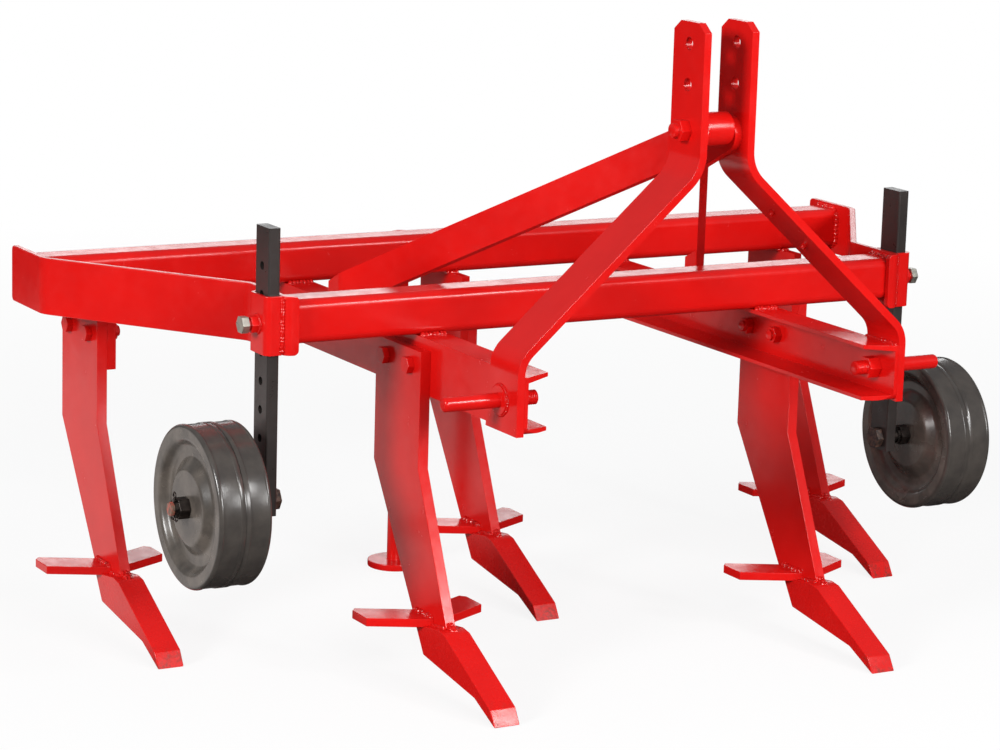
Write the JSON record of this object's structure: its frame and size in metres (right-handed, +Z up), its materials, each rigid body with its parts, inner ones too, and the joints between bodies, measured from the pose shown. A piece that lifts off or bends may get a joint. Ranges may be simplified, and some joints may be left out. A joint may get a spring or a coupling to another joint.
{
  "type": "mounted subsoiler",
  "caption": "Tractor-mounted subsoiler: a welded trapezoid frame with a mast and braces, rigid winged tines, clamped depth wheels and a parking stand.",
  "frame": {"origin": "on the ground under the points, at the middle of the machine's bounding box", "axes": "+X to the machine's right, +Y back and away from the tractor, +Z up"},
  "size_m": [1.536, 0.9199, 1.019],
  "materials": {
    "red_paint": "gloss",
    "black_paint": "satin",
    "wheel_black": "satin",
    "dark_steel": "satin",
    "zinc": "satin"
  },
  "bodies": {
    "frame": {"front_beam": "red_paint", "rear_beam": "red_paint", "side_plate_left": "red_paint", "side_plate_right": "red_paint", "channel_left": "red_paint", "channel_right": "red_paint", "mast_plate_left": "red_paint", "mast_plate_right": "red_paint", "brace_left": "red_paint", "brace_right": "red_paint", "link_pin_left": "red_paint", "link_pin_right": "red_paint", "leg_clamp_left": "red_paint", "leg_clamp_right": "red_paint", "clamp_bolt_left": "zinc", "clamp_bolt_right": "zinc", "mast_spacer": "red_paint", "mast_bolt": "red_paint", "stand_socket": "red_paint", "stand_screw": "zinc", "bracket_rear_left": "red_paint", "bracket_rear_centre": "red_paint", "bracket_rear_right": "red_paint", "shank_front_left": "red_paint", "point_front_left": "red_paint", "wings_front_left": "red_paint", "shank_front_right": "red_paint", "point_front_right": "red_paint", "wings_front_right": "red_paint", "shank_rear_left": "red_paint", "point_rear_left": "red_paint", "wings_rear_left": "red_paint", "shank_rear_centre": "red_paint", "point_rear_centre": "red_paint", "wings_rear_centre": "red_paint", "shank_rear_right": "red_paint", "point_rear_right": "red_paint", "wings_rear_right": "red_paint", "tine_bolts": "red_paint"},
    "parking_stand": {"parking_stand": "red_paint"},
    "leg_left": {"wheel_leg_left": "black_paint", "axle_left": "dark_steel"},
    "wheel_left": {"wheel_left": "wheel_black"},
    "leg_right": {"wheel_leg_right": "black_paint", "axle_right": "dark_steel"},
    "wheel_right": {"wheel_right": "wheel_black"}
  },
  "joints": [
    {"name": "leg_slide_left", "type": "slide", "parent": "frame", "child": "leg_left", "axis": [0, 0, 1], "range_m": [-0.087, 0.087]},
    {"name": "wheel_spin_left", "type": "hinge", "parent": "leg_left", "child": "wheel_left", "pos_m": [-0.6525, -0.104, 0.283], "axis": [1, 0, 0], "continuous": true},
    {"name": "leg_slide_right", "type": "slide", "parent": "frame", "child": "leg_right", "axis": [0, 0, 1], "range_m": [-0.087, 0.087]},
    {"name": "wheel_spin_right", "type": "hinge", "parent": "leg_right", "child": "wheel_right", "pos_m": [0.6525, -0.104, 0.283], "axis": [1, 0, 0], "continuous": true},
    {"name": "stand_slide", "type": "slide", "parent": "frame", "child": "parking_stand", "axis": [0, 0, 1], "range_m": [0, 0.35]}
  ]
}
